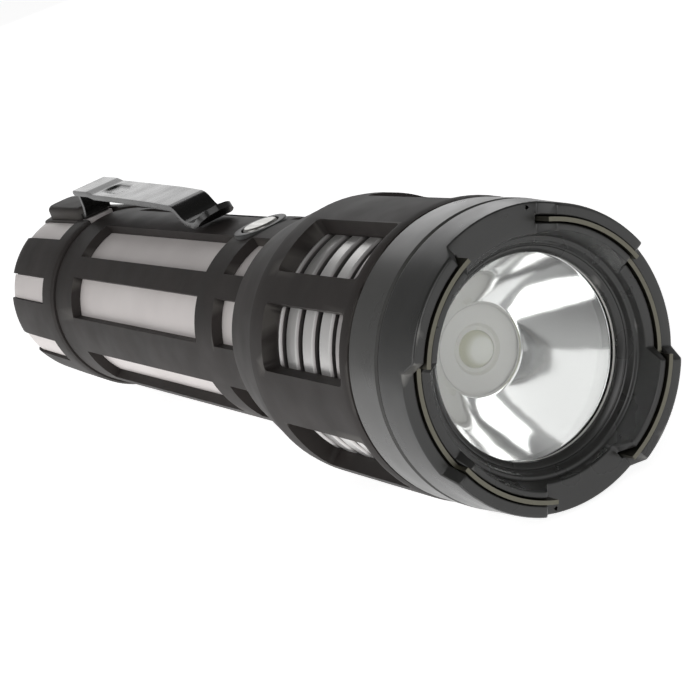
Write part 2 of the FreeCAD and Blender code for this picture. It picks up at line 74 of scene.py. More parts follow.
# The notches in the tail's rim stand a few degrees off the windows.
NOTCH_CENTRES = (20.5, 64.0, 106.0, 152.0, 208.0, 254.0, 296.0, 339.5)
# Sides of the hole under the button's ring and of the seat under the clip's hump.
HOLE_LINES = (10.5, 349.5)

# How finely the meshes are cut.
ARMOUR_STEP = 4.0  # degrees
LATHE_TURNS = 180
EDGE_SEGMENTS = 3
CORNER_SEGMENTS = 4


# ---- coordinates ----
def on_lamp(station, radius, angle):
    """Point in metres from its station, its distance from the lamp's axis and its angle."""
    turn = math.radians(angle)
    return Vector((-radius * math.sin(turn), station - TAIL_STATION, radius * math.cos(turn))) * MM


def beside(x, station, z):
    """Point in metres from its station and its offsets from the lamp's axis."""
    return Vector((x, station - TAIL_STATION, z)) * MM


def linear(code):
    """Linear RGBA from an sRGB hex code such as '#8f8e8b'."""
    values = []
    for i in (1, 3, 5):
        c = int(code[i:i + 2], 16) / 255.0
        values.append(c / 12.92 if c <= 0.04045 else ((c + 0.055) / 1.055) ** 2.4)
    return (*values, 1.0)


# ---- material nodes ----
def add(tree, kind, settings, inputs):
    """Adds a node with its settings; each input takes a value or a link from a socket."""
    node = tree.nodes.new(kind)
    for name, value in settings.items():
        setattr(node, name, value)
    for name, value in inputs.items():
        if isinstance(value, bpy.types.NodeSocket):
            tree.links.new(value, node.inputs[name])
        else:
            node.inputs[name].default_value = value
    return node


def surface(name, colour, **sockets):
    """New material with one Principled shader whose sockets are set by name."""
    material = bpy.data.materials.new(name)
    material.use_nodes = True
    tree = material.node_tree
    shader = tree.nodes["Principled BSDF"]
    shader.inputs["Base Color"].default_value = colour
    for key, value in sockets.items():
        shader.inputs[key.replace("_", " ")].default_value = value
    return material, tree, shader


def lamp_mm(tree):
    """Position on the lamp in millimetres."""
    place = add(tree, "ShaderNodeTexCoord", {}, {})
    scaled = add(tree, "ShaderNodeVectorMath", {"operation": "SCALE"},
                 {0: place.outputs["Object"], "Scale": 1.0 / MM})
    return scaled.outputs["Vector"]


def around_lamp(tree):
    """(radius, 0, station) in millimetres, so a pattern on it runs in rings about the lamp."""
    split = add(tree, "ShaderNodeSeparateXYZ", {}, {0: lamp_mm(tree)})
    flat = add(tree, "ShaderNodeCombineXYZ", {}, {"X": split.outputs["X"], "Y": split.outputs["Z"]})
    radius = add(tree, "ShaderNodeVectorMath", {"operation": "LENGTH"}, {0: flat.outputs[0]})
    rings = add(tree, "ShaderNodeCombineXYZ", {},
                {"X": radius.outputs["Value"], "Z": split.outputs["Y"]})
    return rings.outputs[0]


def share_of_radius(tree, inner, outer):
    """0 within the inner radius, 1 beyond the outer one, and even between."""
    split = add(tree, "ShaderNodeSeparateXYZ", {}, {0: around_lamp(tree)})
    share = add(tree, "ShaderNodeMapRange", {},
                {"Value": split.outputs["X"], "From Min": inner, "From Max": outer})
    return share.outputs[0]


def patches(tree, place, size, detail=2.0, ends=(0.0, 1.0), swing=0.5):
    """Value that wanders between two ends in patches about size millimetres across.

    The smaller the swing, the more of the surface lies at one end or the other.
    """
    noise = add(tree, "ShaderNodeTexNoise", {},
                {"Vector": place, "Scale": 1.0 / size, "Detail": detail})
    value = add(tree, "ShaderNodeMapRange", {},
                {"Value": noise.outputs[0], "From Min": 0.5 - swing, "From Max": 0.5 + swing,
                 "To Min": ends[0], "To Max": ends[1]})
    return value.outputs[0]


def colour_by(tree, shader, share, first, second, edge_highlight=None):
    """Base colour that goes from first to second with the share.

    The last argument is a painted highlight colour for sharp outer edges, and the two bends between
    which it fades in.
    """
    # A colour Mix node takes its factor at socket 0 and its colours at 6 and 7.
    tone = add(tree, "ShaderNodeMix", {"data_type": "RGBA"}, {0: share, 6: first, 7: second})
    if edge_highlight:
        colour, least, most = edge_highlight
        # Painted highlight: the edge colour fades in where the surface is pointiest, on sharp outer
        # edges.
        shape = add(tree, "ShaderNodeNewGeometry", {}, {})
        edge = add(tree, "ShaderNodeMapRange", {},
                   {"Value": shape.outputs["Pointiness"], "From Min": least, "From Max": most})
        tone = add(tree, "ShaderNodeMix", {"data_type": "RGBA"},
                   {0: edge.outputs[0], 6: tone.outputs[2], 7: colour})
    tree.links.new(tone.outputs[2], shader.inputs["Base Color"])


def grain(tree, shader, place, size, depth, detail=2.0):
    """Relief of the given depth in grains about size across, both in millimetres."""
    noise = add(tree, "ShaderNodeTexNoise", {},
                {"Vector": place, "Scale": 1.0 / size, "Detail": detail})
    bump = add(tree, "ShaderNodeBump", {}, {"Distance": depth * MM, "Height": noise.outputs[0]})
    tree.links.new(bump.outputs[0], shader.inputs["Normal"])


# ---- materials ----
def silicone_rubber(settings):
    """Compression-moulded silicone rubber: matt, near black, with a painted highlight on its sharp
    edges.
    """
    colour = (*settings.colour, 1.0)
    material, tree, shader = surface("moulded_silicone_rubber", colour, IOR=1.4)
    place = lamp_mm(tree)
    mottle = patches(tree, place, size=9.0, detail=4.0, swing=0.15)
    # The pale edge colour is a painted highlight where light catches the armour's sharp edges.
    colour_by(tree, shader, mottle, colour, linear("#2a2523"), edge_highlight=(linear("#4a4744"), 0.53, 0.66))
    handled = patches(tree, place, size=6.0, ends=(0.58, 0.66), swing=0.2)
    tree.links.new(handled, shader.inputs["Roughness"])
    # The mould's grain is 0.2 mm across; it is drawn at 0.6 mm so that it can be seen.
    grain(tree, shader, place, size=0.6, depth=0.003, detail=1.0)
    return material


def nitrile_rubber():
    """Moulded nitrile for seals and the button's ring: smoother and a little shinier."""
    material, tree, shader = surface("moulded_nitrile_rubber", linear("#171716"),
                                     Roughness=0.45, IOR=1.48)
    # The mould's grain is 0.2 mm across; it is drawn at 0.6 mm so that it can be seen.
    grain(tree, shader, lamp_mm(tree), size=0.6, depth=0.01)
    return material


def hard_anodised_aluminium(settings):
    """Turned aluminium under a thick black anodic film: dark grey gloss with faint lathe rings."""
    colour = (*settings.bezel_colour, 1.0)
    material, tree, shader = surface("hard_anodised_aluminium", colour, IOR=1.5)
    place = lamp_mm(tree)
    cloud = patches(tree, place, size=7.0, detail=3.0, swing=0.15)
    # The pale edge colour is a painted highlight on the bezel's and collar's sharp edges.
    colour_by(tree, shader, cloud, colour, linear("#2c2c2b"), edge_highlight=(linear("#6d6c69"), 0.54, 0.7))
    gloss = patches(tree, place, size=7.0, detail=3.0, ends=(0.24, 0.36), swing=0.2)
    tree.links.new(gloss, shader.inputs["Roughness"])
    # A finishing cut feeds 0.1 mm a turn; the rings are drawn at 0.35 mm so that they show.
    grain(tree, shader, around_lamp(tree), size=0.35, depth=0.004)
    return material


def turned_aluminium():
    """Bare aluminium straight from the lathe: bright, with fine rings of tool marks."""
    material, tree, shader = surface("turned_aluminium", linear("#c9c8c6"), Metallic=1.0)
    # A roughing cut feeds 0.15 mm a turn; the rings are drawn at 0.3 mm so that they show.
    place, ring = around_lamp(tree), 0.3
    tone = patches(tree, place, ring, detail=3.0, swing=0.2)
    # The near-white edge colour is a painted highlight on sharp edges.
    colour_by(tree, shader, tone, linear("#bdbcba"), linear("#d6d5d3"),
              edge_highlight=(linear("#f4f4f2"), 0.52, 0.6))
    gloss = patches(tree, place, ring, detail=3.0, ends=(0.28, 0.42), swing=0.2)
    tree.links.new(gloss, shader.inputs["Roughness"])
    grain(tree, shader, place, ring, depth=0.006, detail=3.0)
    return material


def finned_aluminium():
    """Turned aluminium with painted shade in the gaps between its fins and a painted highlight on
    the fins' rims.
    """
    material, tree, shader = surface("turned_fin_aluminium", linear("#c9c8c6"), Metallic=0.9)
    # The rings are 0.15 mm apart, and are drawn at 0.3 mm so that they show.
    place, ring = around_lamp(tree), 0.3
    # Painted shade darkens the gaps between the fins towards their roots, and the near-white edge
    # colour is a painted highlight on the fins' rims.
    out_of_gap_shade = share_of_radius(tree, inner=16.3, outer=17.3)
    colour_by(tree, shader, out_of_gap_shade, linear("#3c3a39"), linear("#c6c1c0"),
              edge_highlight=(linear("#f4f4f2"), 0.52, 0.6))
    gloss = patches(tree, place, ring, detail=3.0, ends=(0.3, 0.44), swing=0.2)
    tree.links.new(gloss, shader.inputs["Roughness"])
    grain(tree, shader, place, ring, depth=0.006, detail=3.0)
    return material


def satin_anodised_aluminium(settings):
    """Blasted and clear-anodised aluminium: soft satin grey with a faint warm cast."""
    colour = (*settings.tube_colour, 1.0)
    material, tree, shader = surface("satin_anodised_aluminium", colour,
                                     Metallic=0.3, Roughness=0.5)
    place = lamp_mm(tree)
    cloud = patches(tree, place, size=14.0, detail=3.0, swing=0.15)
    colour_by(tree, shader, cloud, colour, linear("#e0dad8"))
    # Blasting leaves 0.08 mm pits; they are drawn at 0.4 mm so that the satin reads.
    grain(tree, shader, place, size=0.4, depth=0.006)
    return material


def vapour_aluminium():
    """Aluminium vapour laid on a polished bowl: a clean mirror with the bowl's faint waviness."""
    material, tree, shader = surface("vapour_deposited_aluminium", linear("#f1f1f0"),
                                     Metallic=1.0, Roughness=0.09)
    grain(tree, shader, lamp_mm(tree), size=5.0, depth=0.05, detail=1.0)
    return material


def toughened_glass():
    """Clear toughened glass with a faint cool cast."""
    return surface("toughened_glass", linear("#fcfdfd"), Roughness=0.0, IOR=1.5,
                   Transmission_Weight=1.0)[0]


def painted_lit_seal():
    """Silicone seal where the bowl's rim meets the lens; its pale colour is painted light from the
    bowl's rim.
    """
    return surface("silicone_seal_painted_lit", linear("#dddcd8"), Roughness=0.35, IOR=1.41)[0]


def silicone_over_phosphor():
    """Cast silicone dome over yellow phosphor: pale cream, whitest over the chip."""
    material, tree, shader = surface("silicone_over_phosphor", linear("#eeeedd"),
                                     Roughness=0.12, IOR=1.41)
    off_chip = share_of_radius(tree, inner=1.5, outer=2.2)
    colour_by(tree, shader, off_chip, linear("#fbfbf2"), linear("#dcdcc4"))
    return material


def moulded_plastic(name, code, roughness):
    """Injection-moulded plastic with a faint spark-eroded texture."""
    material, tree, shader = surface(name, linear(code), IOR=1.5)
    place = lamp_mm(tree)
    sheen = patches(tree, place, size=3.0, ends=(roughness - 0.06, roughness + 0.06), swing=0.2)
    tree.links.new(sheen, shader.inputs["Roughness"])
    # Spark erosion leaves 0.1 mm craters; they are drawn at 0.5 mm so that they show.
    grain(tree, shader, place, size=0.5, depth=0.01)
    return material


def solder_mask():
    """Fibreglass board under green solder mask, glossy with the 1.2 mm weave just showing."""
    material, tree, shader = surface("solder_masked_board", linear("#1f4a30"),
                                     Roughness=0.3, IOR=1.5)
    weave = patches(tree, lamp_mm(tree), size=1.2)
    colour_by(tree, shader, weave, linear("#18402a"), linear("#2c6a44"))
    return material


def brushed_steel(name, code, roughness):
    """Stainless steel sheet with a fine brushed grain."""
    material, tree, shader = surface(name, linear(code), Metallic=1.0)
    # The grain is 0.05 mm wide; it is drawn 0.4 mm wide and 7 mm long so that it can be seen.
    width, stretch = 0.4, 0.06
    lengthwise = add(tree, "ShaderNodeVectorMath", {"operation": "MULTIPLY"},
                     {0: lamp_mm(tree), 1: (1.0, stretch, 1.0)}).outputs[0]
    sheen = patches(tree, lengthwise, width, detail=3.0,
                    ends=(roughness - 0.07, roughness + 0.07), swing=0.2)
    tree.links.new(sheen, shader.inputs["Roughness"])
    grain(tree, shader, lengthwise, width, depth=0.005, detail=3.0)
    return material


def black_coated_steel(settings):
    """Spring steel under a black baked coat: dark face on, pale where the light skims it."""
    material, tree, shader = surface("black_coated_spring_steel", (*settings.colour, 1.0), IOR=1.5)
    gloss = patches(tree, lamp_mm(tree), size=5.0, detail=3.0, ends=(0.2, 0.3), swing=0.2)
    tree.links.new(gloss, shader.inputs["Roughness"])
    return material


def turned_brass():
    """Turned brass contact, yellow and lightly tarnished."""
    material, tree, shader = surface("turned_brass", linear("#c9a55c"), Metallic=1.0, Roughness=0.3)
    tarnish = patches(tree, lamp_mm(tree), size=2.0, detail=3.0)
    colour_by(tree, shader, tarnish, linear("#b98f45"), linear("#d9ba74"))
    return material


def shrunk_sleeve():
    """Blue PVC sleeve shrunk onto the cell, glossy with slight ripples."""
    material, tree, shader = surface("shrunk_pvc_sleeve", linear("#27486f"),
                                     Roughness=0.25, IOR=1.53)
    grain(tree, shader, lamp_mm(tree), size=4.0, depth=0.03)
    return material


def made(name):
    """Material that an earlier step made."""
    return bpy.data.materials[name]


# ---- mesh helpers ----
def rounded(points, radius, steps=4):
    """The same outline with a curve for each inner corner, no larger than its sides allow."""
    straight, most_of_side = math.radians(176.0), 0.45
    out = [points[0]]
    for before, here, after in zip(points, points[1:], points[2:]):
        corner = Vector(here)
        back, ahead = Vector(before) - corner, Vector(after) - corner
        turn = back.angle(ahead)
        if turn > straight:
            out.append(here)
            continue
        reach = min(radius / math.tan(turn / 2.0), back.length * most_of_side,
                    ahead.length * most_of_side)
        start, end = corner + back.normalized() * reach, corner + ahead.normalized() * reach
        for i in range(steps + 1):
            t = i / steps
            point = start * (1 - t) ** 2 + corner * 2 * t * (1 - t) + end * t ** 2
            out.append((point.x, point.y))
    out.append(points[-1])
    return out


def new_piece(name, bm, body, material, nodes):
    """Turns a bmesh into a smooth-shaded object that stands for CAD nodes and rides on a body."""
    bmesh.ops.recalc_face_normals(bm, faces=bm.faces)
    for face in bm.faces:
        face.smooth = True
    mesh = bpy.data.meshes.new(name)
    bm.to_mesh(mesh)
    bm.free()
    mesh.materials.append(material)
    obj = bpy.data.objects.new(name, mesh)
    bpy.context.scene.collection.objects.link(obj)
    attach(obj, body)
    if nodes:
        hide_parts(*nodes)
    return obj


def soften(obj, width, angle=35.0, weld=False):
    """Rounds every edge sharper than the angle, in millimetres, and evens the shading."""
    if weld:
        obj.modifiers.new("weld", "WELD").merge_threshold = 0.002 * MM
    bevel = obj.modifiers.new("rounding", "BEVEL")
    bevel.width = width * MM
    bevel.segments = EDGE_SEGMENTS
    bevel.limit_method = "ANGLE"
    bevel.angle_limit = math.radians(angle)
    bevel.use_clamp_overlap = not weld
    obj.modifiers.new("shading", "WEIGHTED_NORMAL").keep_sharp = True


def dress(node, material):
    """Gives a CAD node its material."""
    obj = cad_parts[node]
    obj.data.materials.clear()
    obj.data.materials.append(material)
    return obj


def dress_rounded(node, material, width):
    """Gives a CAD node its material and rounds its edges, in place of its flat shading."""
    obj = dress(node, material)
    mesh = obj.data
    for name in ("custom_normal", "sharp_edge"):
        attribute = mesh.attributes.get(name)
        if attribute:
            mesh.attributes.remove(attribute)
    mesh.polygons.foreach_set("use_smooth", [True] * len(mesh.polygons))
    soften(obj, width, weld=True)


def lathe(profile):
    """Turned mesh from the (station, radius) points of a closed outline."""
    bm = bmesh.new()
    rings = [[bm.verts.new(on_lamp(s, r, 360.0 * i / LATHE_TURNS)) for s, r in profile]
             for i in range(LATHE_TURNS)]
    for i, near in enumerate(rings):
        far = rings[(i + 1) % LATHE_TURNS]
        for k in range(len(profile)):
            j = (k + 1) % len(profile)
            bm.faces.new((near[k], near[j], far[j], far[k]))
    return bm


def lines_between(edges, longest, whole=None):
    """Sorted lines through every edge, with the gaps between them split to the longest step."""
    edges = sorted(set(edges))
    ends = edges[1:] + ([edges[0] + whole] if whole else [])
    lines = []
    tiny = 1e-6
    for a, b in zip(edges, ends):
        parts = max(1, math.ceil((b - a) / longest - tiny))
        lines += [a + (b - a) * i / parts for i in range(parts)]
    if not whole:
        lines.append(edges[-1])
    return lines


def in_window(angle, half_width, centres):
    """Whether an angle falls in one of the openings round the lamp."""
    return any(abs((angle - c + 180.0) % 360.0 - 180.0) < half_width for c in centres)


def on_top(angle):
    """Whether an angle falls between the sides of the hole, under the button and the hump."""
    return angle < HOLE_LINES[0] or angle > HOLE_LINES[1]


def below(angle, outer, inner):
    """Angle on the lining under one on the skin: straight down at the hole's sides, else radial."""
    if angle not in HOLE_LINES:
        return angle
    return math.degrees(math.asin(math.sin(math.radians(angle)) * outer / inner))


def armour_shell(stations, outer, inner, centres, half_width, is_open, corner):
    """Tube of armour with openings: clean quads, walls through it, and rounded window corners.

    outer and inner give the radius at a station, and is_open takes a station and an angle.
    """
    edges = [(c + sign * half_width) % 360.0 for c in centres for sign in (-1, 1)]
    angles = lines_between(edges + list(HOLE_LINES), ARMOUR_STEP, 360.0)
    n, m = len(angles), len(stations)
    bm = bmesh.new()
    skin = [[bm.verts.new(on_lamp(s, outer(s), a)) for a in angles] for s in stations]
    lining = [[bm.verts.new(on_lamp(s, inner(s), below(a, outer(s), inner(s)))) for a in angles]
              for s in stations]

    def closed(j, i):
        if not 0 <= j < m - 1:
            return False
        s = (stations[j] + stations[j + 1]) / 2.0
        a = angles[i % n] + ((angles[(i + 1) % n] - angles[i % n]) % 360.0) / 2.0
        return not is_open(s, a % 360.0)

    walls = []
    for j in range(m - 1):
        for i in range(n):
            if not closed(j, i):
                continue
            k = (i + 1) % n
            square = [(j, i), (j, k), (j + 1, k), (j + 1, i)]
            bm.faces.new([skin[a][b] for a, b in square])
            bm.faces.new([lining[a][b] for a, b in reversed(square)])
            sides = ((j - 1, i, 0), (j, i + 1, 1), (j + 1, i, 2), (j, i - 1, 3))
            for row, column, side in sides:
                if not closed(row, column):
                    (a, b), (c, d) = square[side], square[(side + 1) % 4]
                    walls.append(bm.faces.new((skin[c][d], skin[a][b], lining[a][b], lining[c][d])))
    bmesh.ops.delete(bm, geom=[v for v in bm.verts if not v.link_faces], context="VERTS")
    bmesh.ops.recalc_face_normals(bm, faces=bm.faces)
    wall_set, square_turn = set(walls), math.radians(60.0)
    corners = [e for e in bm.edges if len(e.link_faces) == 2
               and all(f in wall_set for f in e.link_faces) and e.calc_face_angle() > square_turn]
    bmesh.ops.bevel(bm, geom=corners, offset=corner * MM, segments=CORNER_SEGMENTS, profile=0.5,
                    affect="EDGES", clamp_overlap=True)
    return bm


def interpolate(table):
    """Function that reads a radius off straight runs between (station, radius) points."""
    def radius(station):
        for (s0, r0), (s1, r1) in zip(table, table[1:]):
            if s0 <= station <= s1:
                return r0 + (r1 - r0) * ((station - s0) / (s1 - s0) if s1 > s0 else 0.0)
        return table[-1][1] if station > table[-1][0] else table[0][1]
    return radius



# ---- settings ----
class FlashlightArmourSettings(bpy.types.PropertyGroup):
    """The rubber armour"""
    colour: bpy.props.FloatVectorProperty(
        name="Rubber colour", description="Base colour of the rubber armour", subtype="COLOR",
        size=3, min=0.0, max=1.0, default=linear("#24201e")[:3])
    edge_rounding: bpy.props.FloatProperty(
        name="Edge rounding", description="Radius on the edges of the windows", unit="LENGTH",
        default=0.0004, min=0.0, max=0.001, precision=5)
    corner_rounding: bpy.props.FloatProperty(
        name="Corner rounding", description="Radius in the corners of the windows", unit="LENGTH",
        default=0.0008, min=0.0, max=0.001, precision=5)


class FlashlightMetalSettings(bpy.types.PropertyGroup):
    """The metal parts that show"""
    bezel_colour: bpy.props.FloatVectorProperty(
        name="Bezel colour", description="Colour of the anodised bezel and collar", subtype="COLOR",
        size=3, min=0.0, max=1.0, default=linear("#262625")[:3])
    tube_colour: bpy.props.FloatVectorProperty(
        name="Tube colour", description="Colour of the metal seen through the barrel's windows",
        subtype="COLOR", size=3, min=0.0, max=1.0, default=linear("#d8d2d0")[:3])


class FlashlightClipSettings(bpy.types.PropertyGroup):
    """The belt clip"""
    colour: bpy.props.FloatVectorProperty(
        name="Clip colour", description="Colour of the clip's baked coat", subtype="COLOR",
        size=3, min=0.0, max=1.0, default=linear("#121211")[:3])
    recess_depth: bpy.props.FloatProperty(
        name="Recess depth", description="Depth of the pressed recess in the clip", unit="LENGTH",
        default=0.0004, min=0.0, max=0.0006, precision=5)


class FlashlightStageSettings(bpy.types.PropertyGroup):
    """The studio"""
    light: bpy.props.FloatProperty(
        name="Light", description="Strength of the soft boxes, as a factor", default=1.0,
        min=0.0, max=10.0)
    floor_colour: bpy.props.FloatVectorProperty(
        name="Floor colour", description="Colour of the studio floor", subtype="COLOR",
        size=3, min=0.0, max=1.0, default=linear("#eeeeee")[:3])
    floor_glow: bpy.props.FloatProperty(
        name="Floor glow", description="Light that comes up through the floor, as a factor",
        default=0.8, min=0.0, max=2.0)



# ---- operators ----
class FLASHLIGHT_OT_bezel(bpy.types.Operator):
    """Dress the crenellated bezel, the collar and the two inlaid strips"""
    bl_idname = "flashlight.bezel"
    bl_label = "Bezel and collar"

    def execute(self, context):
        film = hard_anodised_aluminium(context.scene.flashlight_metal)
        dress_rounded("bezel_ring", film, width=0.22)
        dress("head_collar", film)
        strip = brushed_steel("brushed_strip_steel", "#68665c", 0.4)
        for side in ("left", "right"):
            dress("bezel_strip_" + side, strip)
        return {"FINISHED"}


class FLASHLIGHT_OT_optics(bpy.types.Operator):
    """Build the mirror bowl, and dress the lens, its seal and the emitter"""
    bl_idname = "flashlight.optics"
    bl_label = "Lens, bowl and emitter"

    def execute(self, context):
        new_piece("mirror_bowl", lathe(self.bowl_outline()), "housing",
                  vapour_aluminium(), ["reflector"])
        dress("lens", toughened_glass())
        # The seal's pale colour is painted light from the bowl's rim.
        dress("lens_gasket", painted_lit_seal())
        dress("led_dome", silicone_over_phosphor())
        white = moulded_plastic("white_polycarbonate", "#ecebe6", 0.4)
        dress("led_package", white)
        dress("led_centring_ring", white)
        dress("led_board", turned_aluminium())
        dress("led_screws", brushed_steel("bright_steel", "#9d9c98", 0.32))
        dress("led_leads", moulded_plastic("pvc_lead_sheath", "#8e1d1a", 0.4))
        return {"FINISHED"}

    def bowl_outline(self):
        """Paraboloid with its wall behind it, a lip at the throat and a flange at the rim."""
        rim_station, rim_radius, throat_station, throat_radius = 2.1, 12.95, 12.0, 5.9
        flange_front, flange_rear, flange_radius, lip_radius = 1.8, 3.2, 14.4, 13.1
        wall, throat_lip, back_radius, rim_rounding = 0.9, 0.6, 13.25, 0.15
        steps, steps_in_flange = 28, 4
        bowl = []
        for i in range(steps + 1):
            t = i / steps
            station = rim_station + (throat_station - rim_station) * t
            square = rim_radius ** 2 + (throat_radius ** 2 - rim_radius ** 2) * t
            bowl.append((station, math.sqrt(square)))
        flange = [(flange_front, flange_radius), (flange_front, lip_radius), bowl[0], bowl[1]]
        back = [(s, r + wall) for s, r in reversed(bowl)]
        end = throat_station + throat_lip
        return (rounded(flange, rim_rounding)[:-1] + bowl[1:]
                + [(end, throat_radius), (end, throat_radius + wall)] + back[:-steps_in_flange]
                + [(flange_rear, back_radius), (flange_rear, flange_radius)])


class FLASHLIGHT_OT_head(bpy.types.Operator):
    """Build the rubber armour of the head and dress the finned metal head inside it"""
    bl_idname = "flashlight.head"
    bl_label = "Head"

    def execute(self, context):
        settings = context.scene.flashlight_armour
        dress("head_body", finned_aluminium())
        dress("heat_sink", made("turned_aluminium"))
        # Both narrow behind the windows, from the head to the neck.
        skin = [(10.5, 19.65), (11.2, 19.82), (12.0, 19.85), (38.5, 19.85), (40.2, 19.7),
                (41.6, 19.35), (52.7, 16.9), (53.2, 16.5)]
        lining = [(10.5, 18.0), (11.99, 18.0), (12.0, 17.42), (39.99, 17.42), (40.0, 15.62),
                  (42.0, 15.22), (53.2, 15.22)]
        window_front, window_rear, half_window = 12.3, 35.8, 13.5
        lining_step, longest = 39.99, 8.0
        edges = [s for s, r in skin] + [window_front, window_rear, lining_step]

        def is_open(s, a):
            return window_front < s < window_rear and in_window(a, half_window, WINDOW_CENTRES)

        bm = armour_shell(lines_between(edges, longest), interpolate(skin), interpolate(lining),
                          WINDOW_CENTRES, half_window, is_open, settings.corner_rounding / MM)
        obj = new_piece("armour_head", bm, "housing", silicone_rubber(settings),
                        ["head_sleeve"])
        soften(obj, settings.edge_rounding / MM)
        return {"FINISHED"}


class FLASHLIGHT_OT_barrel(bpy.types.Operator):
    """Build the rubber armour of the barrel and dress the tube under it"""
    bl_idname = "flashlight.barrel"
    bl_label = "Barrel"

    def execute(self, context):
        settings = context.scene.flashlight_armour
        satin = satin_anodised_aluminium(context.scene.flashlight_metal)
        dress("body_tube", satin)
        front, rear, skin_radius, lining_radius = 53.5, 134.3, 15.8, 14.17
        window_front, window_rear, slot_rear, half_window = 69.4, 125.7, 62.7, 13.0
        button, half_hole, longest = 66.5, 2.9, 9.0
        edges = [front, rear, window_front, window_rear, slot_rear, button - half_hole,
                 button + half_hole]

        def is_open(s, a):
            if in_window(a, half_window, WINDOW_CENTRES):
                if s < slot_rear or window_front < s < window_rear:
                    return True
            return abs(s - button) < half_hole and on_top(a)

        bm = armour_shell(lines_between(edges, longest), lambda s: skin_radius,
                          lambda s: lining_radius, WINDOW_CENTRES, half_window, is_open,
                          settings.corner_rounding / MM)
        obj = new_piece("armour_barrel", bm, "housing",
                        made("moulded_silicone_rubber"), ["body_sleeve"])
        soften(obj, settings.edge_rounding / MM)
        return {"FINISHED"}


class FLASHLIGHT_OT_switch(bpy.types.Operator):
    """Dress the push button, its ring and spring, and the switch under them"""
    bl_idname = "flashlight.switch"
    bl_label = "Push button"

    def execute(self, context):
        steel = made("bright_steel")
        dress_rounded("switch_button", steel, width=0.1)
        dress_rounded("switch_ring", nitrile_rubber(), width=0.15)
        dress("switch_spring", steel)
        black = moulded_plastic("black_glass_filled_nylon", "#1b1b1c", 0.45)
        dress("tact_switch", black)
        dress("switch_carrier", black)
        dress("switch_board", solder_mask())
        dress("front_contact", turned_brass())
        dress("switch_leads", made("pvc_lead_sheath"))
        return {"FINISHED"}


class FLASHLIGHT_OT_electronics(bpy.types.Operator):
    """Dress the driver in the head and the cell in the barrel"""
    bl_idname = "flashlight.electronics"
    bl_label = "Driver and cell"

    def execute(self, context):
        black = made("black_glass_filled_nylon")
        dress("driver_board", made("solder_masked_board"))
        dress("driver_components", black)
        dress("driver_retaining_ring", made("turned_aluminium"))
        dress("battery_cell", shrunk_sleeve())
        dress("battery_terminal", made("bright_steel"))
        dress("battery_sleeve", black)
        return {"FINISHED"}


class FLASHLIGHT_OT_tail(bpy.types.Operator):
    """Build the rubber armour of the tail cap and dress the cap and its contact"""
    bl_idname = "flashlight.tail"
    bl_label = "Tail cap"

    def execute(self, context):
        settings = context.scene.flashlight_armour
        rubber = made("moulded_silicone_rubber")
        dress("tail_cap", made("satin_anodised_aluminium"))
        skin = [(134.6, 16.1), (135.5, 16.45), (147.0, 16.25), (157.5, 16.0), (159.9, 15.75),
                (161.0, 15.2)]
        lining_radius, notch_front, half_notch, seat_rear, longest = 14.8, 140.1, 8.5, 139.7, 7.0
        edges = [s for s, r in skin] + [notch_front, seat_rear]

        def is_open(s, a):
            if in_window(a, half_notch, NOTCH_CENTRES) and s > notch_front:
                return True
            return s < seat_rear and on_top(a)

        bm = armour_shell(lines_between(edges, longest), interpolate(skin),
                          lambda s: lining_radius, NOTCH_CENTRES, half_notch, is_open,
                          settings.corner_rounding / MM)
        obj = new_piece("armour_tail", bm, "tail_cap", rubber, ["tail_sleeve"])
        soften(obj, settings.edge_rounding / MM)
        self.hump(rubber)
        dress("tail_board", made("solder_masked_board"))
        dress("tail_board_ring", made("turned_aluminium"))
        dress("tail_spring", made("bright_steel"))
        dress("tail_o_ring", made("moulded_nitrile_rubber"))
        return {"FINISHED"}

    def hump(self, rubber):
        """Rubber hump over the clip's foot, with round corners towards the tail and a soft top."""
        low, high, half_width, front, rear = 15.3, 18.15, 3.1, 139.7, 157.6
        end_rounding, top_rounding, near = 2.2, 0.9, 0.001
        bm = bmesh.new()
        bmesh.ops.create_cube(bm, size=1.0)
        size = Vector((2.0 * half_width, rear - front, high - low)) * MM
        centre = beside(0.0, (front + rear) / 2.0, (low + high) / 2.0)
        block = Matrix.Translation(centre) @ Matrix.Diagonal((*size, 1.0))
        bmesh.ops.transform(bm, matrix=block, verts=bm.verts)
        tail_y, top_z = beside(0.0, rear, high).yz
        upright = [e for e in bm.edges if all(abs(v.co.y - tail_y) < near * MM for v in e.verts)
                   and abs(e.verts[0].co.z - e.verts[1].co.z) > MM]
        bmesh.ops.bevel(bm, geom=upright, offset=end_rounding * MM, segments=8, profile=0.5,
                        affect="EDGES")
        top = [e for e in bm.edges if all(v.co.z > top_z - near * MM for v in e.verts)
               and len(e.link_faces) == 2 and e.calc_face_angle() > 1.0]
        bmesh.ops.bevel(bm, geom=top, offset=top_rounding * MM, segments=5, profile=0.5,
                        affect="EDGES")
        new_piece("armour_hump", bm, "tail_cap", rubber, [])


